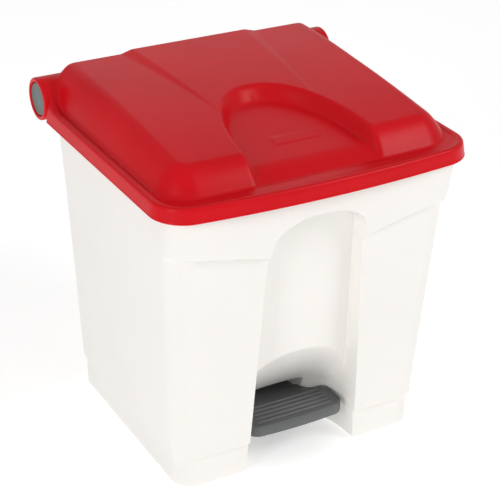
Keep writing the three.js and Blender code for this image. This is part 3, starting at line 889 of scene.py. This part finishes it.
def plastic(name, colour, roughness, grain, grain_depth, shine=0.5, edge_highlight=1.12, spread=0.05, scatter=0.0):
    """A moulded plastic: cloudy colour, fine grain, uneven gloss and a painted highlight on its sharpest
    edges.
    """
    material = bpy.data.materials.new(name)
    material.use_nodes = True
    tree = material.node_tree
    shader = tree.nodes["Principled BSDF"]
    place = tree.nodes.new("ShaderNodeTexCoord")
    tree.links.new(cloudy_colour_with_edge_highlight(tree, place, colour, edge_highlight, spread), shader.inputs["Base Color"])
    tree.links.new(uneven_gloss(tree, place, roughness), shader.inputs["Roughness"])
    tree.links.new(fine_grain(tree, place, grain, grain_depth), shader.inputs["Normal"])
    shader.inputs["Specular IOR Level"].default_value = shine
    shader.inputs["Subsurface Weight"].default_value = scatter
    shader.inputs["Subsurface Scale"].default_value = 2 * MM
    return material


def red_moulding():
    return plastic("red_moulding", (0.64, 0.004, 0.01), 0.31, 700, 0.03, shine=0.14, edge_highlight=1.15)


def white_moulding():
    return plastic(
        "white_moulding", (0.9, 0.878, 0.842), 0.46, 650, 0.04, edge_highlight=1.04, spread=0.012, scatter=0.08)


def charcoal_moulding():
    return plastic("charcoal_moulding", (0.088, 0.093, 0.093), 0.42, 800, 0.05, edge_highlight=1.7)


def grey_plug():
    return plastic("grey_plug", (0.125, 0.15, 0.14), 0.5, 600, 0.03, edge_highlight=1.3)


def plated_steel():
    """Dull zinc-plated steel."""
    material = plastic("zinc_steel", (0.52, 0.52, 0.53), 0.36, 600, 0.02, spread=0.08)
    material.node_tree.nodes["Principled BSDF"].inputs["Metallic"].default_value = 1
    return material


def natural_nylon():
    return plastic("natural_nylon", (0.72, 0.7, 0.64), 0.42, 400, 0.02, scatter=0.1)


def black_rubber():
    return plastic("black_rubber", (0.03, 0.03, 0.03), 0.8, 900, 0.06, edge_highlight=1.6)


def glowing_floor():
    """A pale floor that gives off a little light, so that it stays even."""
    material = plastic("pale_floor", (0.9, 0.9, 0.9), 0.6, 200, 0.02, spread=0.004, edge_highlight=1.0)
    glow = material.node_tree.nodes["Principled BSDF"].inputs
    glow["Emission Color"].default_value = (1, 1, 1, 1)
    glow["Emission Strength"].default_value = 0.4
    return material


def dress_hardware():
    """Gives every carried-over node its material."""
    finishes = {"steel": plated_steel(), "nylon": natural_nylon(), "foot_rubber": black_rubber()}
    slots = {part["node"]: part["material_slot"] for part in frame["record"]["subparts"]}
    for node, piece in frame["nodes"].items():
        finish = finishes.get(slots[node])
        if finish is not None:
            piece.data.materials.clear()
            piece.data.materials.append(finish)


# ---------------------------------------------------------------- studio
CAMERA_AT = Vector((-845.8, -1529.4, 1142.8)) * MM
CAMERA_TARGET = Vector((-84.03, -157.83, 318.45)) * MM
CAMERA_ROLL = math.radians(0.64)
CAMERA_LENS = 112.73
LAMP_TARGET = Vector((0, 0, 0.22))
WORLD_LIGHT = 0.49
WORLD_SEEN = 1.05
FLOOR_REACH = 6000


def build_camera():
    data = bpy.data.cameras.new("camera")
    data.sensor_width = 36
    data.lens = CAMERA_LENS
    camera = bpy.data.objects.new("camera", data)
    look = (CAMERA_TARGET - CAMERA_AT).normalized()
    right = look.cross(Vector((0, 0, 1))).normalized()
    up = right.cross(look)
    rolled_right = right * math.cos(CAMERA_ROLL) + up * math.sin(CAMERA_ROLL)
    rolled_up = up * math.cos(CAMERA_ROLL) - right * math.sin(CAMERA_ROLL)
    turn = Matrix((rolled_right, rolled_up, -look)).transposed().to_4x4()
    camera.matrix_world = Matrix.Translation(CAMERA_AT) @ turn
    bpy.context.scene.collection.objects.link(camera)
    bpy.context.scene.camera = camera


def soft_lamp(name, place, size, power):
    """A rectangular lamp aimed at the middle of the bin."""
    data = bpy.data.lights.new(name, "AREA")
    data.shape = "RECTANGLE"
    data.size, data.size_y = size
    data.energy = power
    lamp = bpy.data.objects.new(name, data)
    lamp.location = place
    aim = LAMP_TARGET - Vector(place)
    lamp.rotation_euler = aim.to_track_quat("-Z", "Y").to_euler()
    bpy.context.scene.collection.objects.link(lamp)


def build_world():
    """An even white room, brighter to the camera than to the bin."""
    world = bpy.data.worlds.new("studio")
    world.use_nodes = True
    tree = world.node_tree
    path = tree.nodes.new("ShaderNodeLightPath")
    strength = tree.nodes.new("ShaderNodeMapRange")
    strength.inputs["To Min"].default_value = WORLD_LIGHT
    strength.inputs["To Max"].default_value = WORLD_SEEN
    background = tree.nodes["Background"].inputs
    tree.links.new(path.outputs["Is Camera Ray"], strength.inputs["Value"])
    tree.links.new(strength.outputs["Result"], background["Strength"])
    background["Color"].default_value = (1, 1, 1, 1)
    bpy.context.scene.world = world


def build_floor():
    corners = [(sx * FLOOR_REACH, sy * FLOOR_REACH, 0) for sx, sy in ((-1, -1), (1, -1), (1, 1), (-1, 1))]
    floor = mesh_object("floor", corners, [(0, 1, 2, 3)])
    floor.data.materials.append(glowing_floor())


def build_studio():
    build_world()
    soft_lamp("key", (1.6, -1.7, 2.0), (1.1, 1.1), 23)
    soft_lamp("fill", (-2.1, -1.2, 1.1), (0.7, 1.2), 15)
    soft_lamp("back", (0.4, 2.0, 1.4), (2.4, 1.2), 3)
    build_floor()
    bpy.context.scene.view_settings.view_transform = "Standard"


# ---------------------------------------------------------------- assembly
build_lid(red_moulding())
build_body(white_moulding())
build_plugs(grey_plug())
build_pedal(charcoal_moulding())
dress_hardware()
build_camera()
build_studio()
